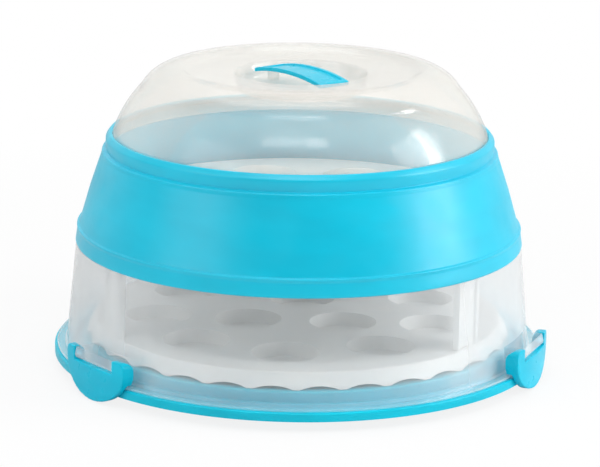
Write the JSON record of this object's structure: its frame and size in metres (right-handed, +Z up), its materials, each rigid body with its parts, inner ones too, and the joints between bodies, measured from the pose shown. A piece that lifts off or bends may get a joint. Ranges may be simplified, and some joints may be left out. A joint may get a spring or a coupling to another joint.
{
  "type": "cupcake carrier",
  "caption": "Round two-tier cupcake carrier: a clear lid with a folding coloured band, clip-on latches, lift-out trays with wells, fold-down tray legs and a rimmed base.",
  "frame": {"origin": "centre of the base's underside, on the axis of the round body", "axes": "+Z up, -Y the front that the picture shows, +X to the right of it"},
  "size_m": [0.3824, 0.386, 0.233],
  "materials": {
    "teal_plastic": "satin-gloss moulded polypropylene, turquoise",
    "folding_band": "flexible turquoise elastomer with a satin sheen",
    "clear_plastic": "frosted clear moulded plastic",
    "white_plastic": "milky white moulded plastic"
  },
  "bodies": {
    "base": {"base": "teal_plastic"},
    "lower_tray": {"lower_tray": "white_plastic"},
    "upper_tray": {"upper_tray": "white_plastic"},
    "tray_leg_1": {"tray_leg_1": "white_plastic"},
    "tray_leg_2": {"tray_leg_2": "white_plastic"},
    "tray_leg_3": {"tray_leg_3": "white_plastic"},
    "lid_top": {"dome": "clear_plastic", "recess_floor": "clear_plastic", "handle_post_1": "clear_plastic", "handle_post_2": "clear_plastic", "handle": "teal_plastic", "band_upper_collar": "folding_band"},
    "lid_foot": {"lid_wall": "clear_plastic", "band_lower_collar": "folding_band"},
    "folding_wall": {"band_folding_wall": "folding_band"},
    "latch_1": {"latch_1": "teal_plastic"},
    "latch_2": {"latch_2": "teal_plastic"},
    "latch_3": {"latch_3": "teal_plastic"}
  },
  "joints": [
    {"name": "lower_tray_lift", "type": "slide", "parent": "base", "child": "lower_tray", "axis": [0, 0, 1], "range_m": [0, 0.06]},
    {"name": "upper_tray_lift", "type": "slide", "parent": "lower_tray", "child": "upper_tray", "axis": [0, 0, 1], "range_m": [0, 0.11]},
    {"name": "leg_1_fold", "type": "hinge", "parent": "upper_tray", "child": "tray_leg_1", "pos_m": [-0.1381, -0.06587, 0.1093], "axis": [0.4305, -0.9026, 0], "range_deg": [0, 90]},
    {"name": "leg_2_fold", "type": "hinge", "parent": "upper_tray", "child": "tray_leg_2", "pos_m": [0.12609, -0.08666, 0.1093], "axis": [0.5664, 0.8241, 0], "range_deg": [0, 90]},
    {"name": "leg_3_fold", "type": "hinge", "parent": "upper_tray", "child": "tray_leg_3", "pos_m": [0.012, 0.15253, 0.1093], "axis": [-0.9969, 0.0785, 0], "range_deg": [0, 90]},
    {"name": "lid_lift", "type": "slide", "parent": "upper_tray", "child": "lid_top", "axis": [0, 0, 1], "range_m": [0, 0.24]},
    {"name": "lid_collapse", "type": "slide", "parent": "lid_top", "child": "lid_foot", "axis": [0, 0, 1], "range_m": [0, 0.1156]},
    {"name": "band_fold", "type": "slide", "parent": "lid_top", "child": "folding_wall", "axis": [0, 0, 1], "range_m": [0, 0.0578]},
    {"name": "latch_1_swing", "type": "hinge", "parent": "lid_foot", "child": "latch_1", "pos_m": [-0.14909, -0.11859, 0.0306], "axis": [-0.6225, 0.7826, 0], "range_deg": [0, 105]},
    {"name": "latch_2_swing", "type": "hinge", "parent": "lid_foot", "child": "latch_2", "pos_m": [0.17725, -0.06982, 0.0306], "axis": [-0.3665, -0.9304, 0], "range_deg": [0, 105]},
    {"name": "latch_3_swing", "type": "hinge", "parent": "lid_foot", "child": "latch_3", "pos_m": [-0.02816, 0.18841, 0.0306], "axis": [0.989, 0.1478, 0], "range_deg": [0, 105]}
  ],
  "couplings": [
    {"joint": "band_fold", "follows": "lid_collapse", "ratio": 0.5}
  ]
}
